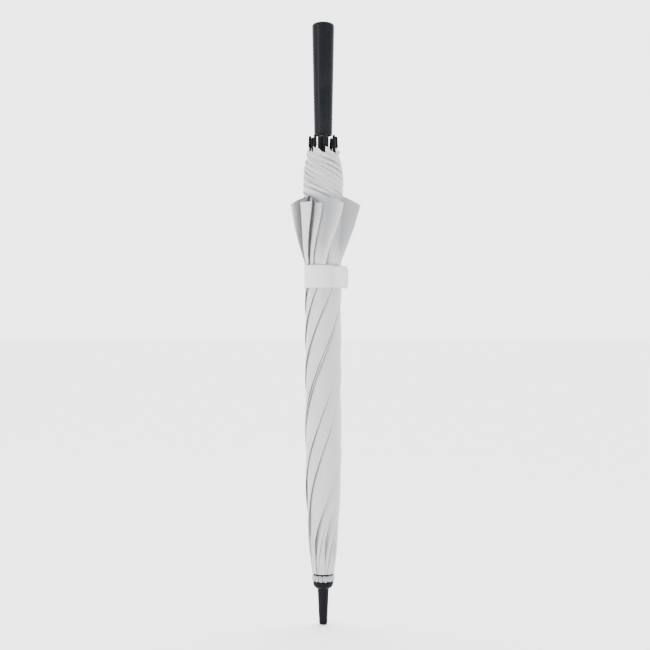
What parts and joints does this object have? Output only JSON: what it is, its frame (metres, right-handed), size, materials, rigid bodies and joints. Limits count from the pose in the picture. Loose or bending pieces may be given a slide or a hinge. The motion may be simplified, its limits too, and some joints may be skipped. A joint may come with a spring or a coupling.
{
  "type": "stick umbrella",
  "caption": "Long stick umbrella, furled and strapped, handle up: straight tapered foam grip, black rib tips, pale grey rolled canopy with flared pleats, black cap and ferrule.",
  "frame": {"origin": "centre of the ferrule's end face", "axes": "+Z runs along the shaft from the ferrule to the handle; the picture was taken looking along +Y"},
  "size_m": [0.108, 0.1079, 0.928],
  "materials": {
    "foam": "matt closed-cell EVA foam",
    "black_plastic": "satin moulded plastic",
    "cloth": "matt close-woven polyester pongee",
    "webbing": "doubled and stitched canopy cloth",
    "hook_patch": "hook-and-loop pile",
    "fibreglass": "pultruded glass fibre, satin",
    "shaft_tube": "glass-fibre tube, satin",
    "plated_steel": "zinc-plated"
  },
  "bodies": {
    "frame": {"shaft": "shaft_tube", "ferrule": "black_plastic", "cap": "black_plastic", "rosette": "cloth", "notch": "black_plastic", "notch_wire": "plated_steel", "handle_grip": "foam", "handle_core": "black_plastic"},
    "rib_1": {"rib_1": "fibreglass", "rib_tip_1": "black_plastic", "rib_clip_1": "plated_steel"},
    "rib_2": {"rib_2": "fibreglass", "rib_tip_2": "black_plastic", "rib_clip_2": "plated_steel"},
    "rib_3": {"rib_3": "fibreglass", "rib_tip_3": "black_plastic", "rib_clip_3": "plated_steel"},
    "rib_4": {"rib_4": "fibreglass", "rib_tip_4": "black_plastic", "rib_clip_4": "plated_steel"},
    "rib_5": {"rib_5": "fibreglass", "rib_tip_5": "black_plastic", "rib_clip_5": "plated_steel", "strap": "webbing", "strap_patch": "hook_patch"},
    "rib_6": {"rib_6": "fibreglass", "rib_tip_6": "black_plastic", "rib_clip_6": "plated_steel"},
    "rib_7": {"rib_7": "fibreglass", "rib_tip_7": "black_plastic", "rib_clip_7": "plated_steel"},
    "rib_8": {"rib_8": "fibreglass", "rib_tip_8": "black_plastic", "rib_clip_8": "plated_steel"},
    "stretcher_1": {"stretcher_1": "plated_steel"},
    "stretcher_2": {"stretcher_2": "plated_steel"},
    "stretcher_3": {"stretcher_3": "plated_steel"},
    "stretcher_4": {"stretcher_4": "plated_steel"},
    "stretcher_5": {"stretcher_5": "plated_steel"},
    "stretcher_6": {"stretcher_6": "plated_steel"},
    "stretcher_7": {"stretcher_7": "plated_steel"},
    "stretcher_8": {"stretcher_8": "plated_steel"},
    "runner": {"runner": "black_plastic", "runner_wire": "plated_steel"},
    "panel_1": {"panel_1": "cloth"},
    "panel_2": {"panel_2": "cloth"},
    "panel_3": {"panel_3": "cloth"},
    "panel_4": {"panel_4": "cloth"},
    "panel_5": {"panel_5": "cloth"},
    "panel_6": {"panel_6": "cloth"},
    "panel_7": {"panel_7": "cloth"},
    "panel_8": {"panel_8": "cloth"},
    "top_spring": {"top_spring": "plated_steel"},
    "bottom_spring": {"bottom_spring": "plated_steel"}
  },
  "joints": [
    {"name": "rib_1_fold", "type": "hinge", "parent": "frame", "child": "rib_1", "pos_m": [0.01089, 0.00153, 0.086], "axis": [-0.1392, 0.9903, 0], "range_deg": [0, 63]},
    {"name": "rib_2_fold", "type": "hinge", "parent": "frame", "child": "rib_2", "pos_m": [0.00662, 0.00878, 0.086], "axis": [-0.7986, 0.6018, 0], "range_deg": [0, 63]},
    {"name": "rib_3_fold", "type": "hinge", "parent": "frame", "child": "rib_3", "pos_m": [-0.00153, 0.01089, 0.086], "axis": [-0.9903, -0.1392, 0], "range_deg": [0, 63]},
    {"name": "rib_4_fold", "type": "hinge", "parent": "frame", "child": "rib_4", "pos_m": [-0.00878, 0.00662, 0.086], "axis": [-0.6018, -0.7986, 0], "range_deg": [0, 63]},
    {"name": "rib_5_fold", "type": "hinge", "parent": "frame", "child": "rib_5", "pos_m": [-0.01089, -0.00153, 0.086], "axis": [0.1392, -0.9903, 0], "range_deg": [0, 63], "deforming": ["strap", "strap_patch"]},
    {"name": "rib_6_fold", "type": "hinge", "parent": "frame", "child": "rib_6", "pos_m": [-0.00662, -0.00878, 0.086], "axis": [0.7986, -0.6018, 0], "range_deg": [0, 63]},
    {"name": "rib_7_fold", "type": "hinge", "parent": "frame", "child": "rib_7", "pos_m": [0.00153, -0.01089, 0.086], "axis": [0.9903, 0.1392, 0], "range_deg": [0, 63]},
    {"name": "rib_8_fold", "type": "hinge", "parent": "frame", "child": "rib_8", "pos_m": [0.00878, -0.00662, 0.086], "axis": [0.6018, 0.7986, 0], "range_deg": [0, 63]},
    {"name": "stretcher_1_fold", "type": "hinge", "parent": "rib_1", "child": "stretcher_1", "pos_m": [0.01089, 0.00153, 0.401], "axis": [-0.1392, 0.9903, 0], "range_deg": [-126, 0]},
    {"name": "stretcher_2_fold", "type": "hinge", "parent": "rib_2", "child": "stretcher_2", "pos_m": [0.00662, 0.00878, 0.401], "axis": [-0.7986, 0.6018, 0], "range_deg": [-126, 0]},
    {"name": "stretcher_3_fold", "type": "hinge", "parent": "rib_3", "child": "stretcher_3", "pos_m": [-0.00153, 0.01089, 0.401], "axis": [-0.9903, -0.1392, 0], "range_deg": [-126, 0]},
    {"name": "stretcher_4_fold", "type": "hinge", "parent": "rib_4", "child": "stretcher_4", "pos_m": [-0.00878, 0.00662, 0.401], "axis": [-0.6018, -0.7986, 0], "range_deg": [-126, 0]},
    {"name": "stretcher_5_fold", "type": "hinge", "parent": "rib_5", "child": "stretcher_5", "pos_m": [-0.01089, -0.00153, 0.401], "axis": [0.1392, -0.9903, 0], "range_deg": [-126, 0]},
    {"name": "stretcher_6_fold", "type": "hinge", "parent": "rib_6", "child": "stretcher_6", "pos_m": [-0.00662, -0.00878, 0.401], "axis": [0.7986, -0.6018, 0], "range_deg": [-126, 0]},
    {"name": "stretcher_7_fold", "type": "hinge", "parent": "rib_7", "child": "stretcher_7", "pos_m": [0.00153, -0.01089, 0.401], "axis": [0.9903, 0.1392, 0], "range_deg": [-126, 0]},
    {"name": "stretcher_8_fold", "type": "hinge", "parent": "rib_8", "child": "stretcher_8", "pos_m": [0.00878, -0.00662, 0.401], "axis": [0.6018, 0.7986, 0], "range_deg": [-126, 0]},
    {"name": "runner_pivot", "type": "hinge", "parent": "stretcher_1", "child": "runner", "pos_m": [0.01089, 0.00153, 0.716], "axis": [-0.1392, 0.9903, 0], "range_deg": [0, 63]},
    {"name": "panel_1_spread", "type": "hinge", "parent": "rib_1", "child": "panel_1", "pos_m": [0.01026, 0.00604, 0.086], "axis": [-0.7498, -0.4417, -0.4927], "range_deg": [0, 46.14], "deforming": ["panel_1"]},
    {"name": "panel_2_spread", "type": "hinge", "parent": "rib_2", "child": "panel_2", "pos_m": [0.00298, 0.01153, 0.086], "axis": [-0.2179, -0.8425, -0.4927], "range_deg": [0, 46.14], "deforming": ["panel_2"]},
    {"name": "panel_3_spread", "type": "hinge", "parent": "rib_3", "child": "panel_3", "pos_m": [-0.00604, 0.01026, 0.086], "axis": [0.4417, -0.7498, -0.4927], "range_deg": [0, 46.14], "deforming": ["panel_3"]},
    {"name": "panel_4_spread", "type": "hinge", "parent": "rib_4", "child": "panel_4", "pos_m": [-0.01153, 0.00298, 0.086], "axis": [0.8425, -0.2179, -0.4927], "range_deg": [0, 46.14], "deforming": ["panel_4"]},
    {"name": "panel_5_spread", "type": "hinge", "parent": "rib_5", "child": "panel_5", "pos_m": [-0.01026, -0.00604, 0.086], "axis": [0.7498, 0.4417, -0.4927], "range_deg": [0, 46.14], "deforming": ["panel_5"]},
    {"name": "panel_6_spread", "type": "hinge", "parent": "rib_6", "child": "panel_6", "pos_m": [-0.00298, -0.01153, 0.086], "axis": [0.2179, 0.8425, -0.4927], "range_deg": [0, 46.14], "deforming": ["panel_6"]},
    {"name": "panel_7_spread", "type": "hinge", "parent": "rib_7", "child": "panel_7", "pos_m": [0.00604, -0.01026, 0.086], "axis": [-0.4417, 0.7498, -0.4927], "range_deg": [0, 46.14], "deforming": ["panel_7"]},
    {"name": "panel_8_spread", "type": "hinge", "parent": "rib_8", "child": "panel_8", "pos_m": [0.01153, -0.00298, 0.086], "axis": [-0.8425, 0.2179, -0.4927], "range_deg": [0, 46.14], "deforming": ["panel_8"]},
    {"name": "top_spring_press", "type": "hinge", "parent": "frame", "child": "top_spring", "pos_m": [0.00276, 0.00162, 0.44461], "axis": [-0.5075, 0.8616, 0], "range_deg": [0, 4], "stiffness_Nm_per_rad": 0.5, "springref_deg": -2.86},
    {"name": "bottom_spring_press", "type": "hinge", "parent": "frame", "child": "bottom_spring", "pos_m": [0.00276, 0.00162, 0.6714], "axis": [0.5075, -0.8616, 0], "range_deg": [0, 4], "stiffness_Nm_per_rad": 0.5, "springref_deg": -2.86}
  ],
  "couplings": [
    {"joint": "rib_2_fold", "follows": "rib_1_fold", "ratio": 1},
    {"joint": "rib_3_fold", "follows": "rib_1_fold", "ratio": 1},
    {"joint": "rib_4_fold", "follows": "rib_1_fold", "ratio": 1},
    {"joint": "rib_5_fold", "follows": "rib_1_fold", "ratio": 1},
    {"joint": "rib_6_fold", "follows": "rib_1_fold", "ratio": 1},
    {"joint": "rib_7_fold", "follows": "rib_1_fold", "ratio": 1},
    {"joint": "rib_8_fold", "follows": "rib_1_fold", "ratio": 1},
    {"joint": "stretcher_1_fold", "follows": "rib_1_fold", "ratio": -2},
    {"joint": "stretcher_2_fold", "follows": "rib_1_fold", "ratio": -2},
    {"joint": "stretcher_3_fold", "follows": "rib_1_fold", "ratio": -2},
    {"joint": "stretcher_4_fold", "follows": "rib_1_fold", "ratio": -2},
    {"joint": "stretcher_5_fold", "follows": "rib_1_fold", "ratio": -2},
    {"joint": "stretcher_6_fold", "follows": "rib_1_fold", "ratio": -2},
    {"joint": "stretcher_7_fold", "follows": "rib_1_fold", "ratio": -2},
    {"joint": "stretcher_8_fold", "follows": "rib_1_fold", "ratio": -2},
    {"joint": "runner_pivot", "follows": "rib_1_fold", "ratio": 1},
    {"joint": "panel_1_spread", "follows": "rib_1_fold", "ratio": 0.73233},
    {"joint": "panel_2_spread", "follows": "rib_1_fold", "ratio": 0.73233},
    {"joint": "panel_3_spread", "follows": "rib_1_fold", "ratio": 0.73233},
    {"joint": "panel_4_spread", "follows": "rib_1_fold", "ratio": 0.73233},
    {"joint": "panel_5_spread", "follows": "rib_1_fold", "ratio": 0.73233},
    {"joint": "panel_6_spread", "follows": "rib_1_fold", "ratio": 0.73233},
    {"joint": "panel_7_spread", "follows": "rib_1_fold", "ratio": 0.73233},
    {"joint": "panel_8_spread", "follows": "rib_1_fold", "ratio": 0.73233}
  ]
}
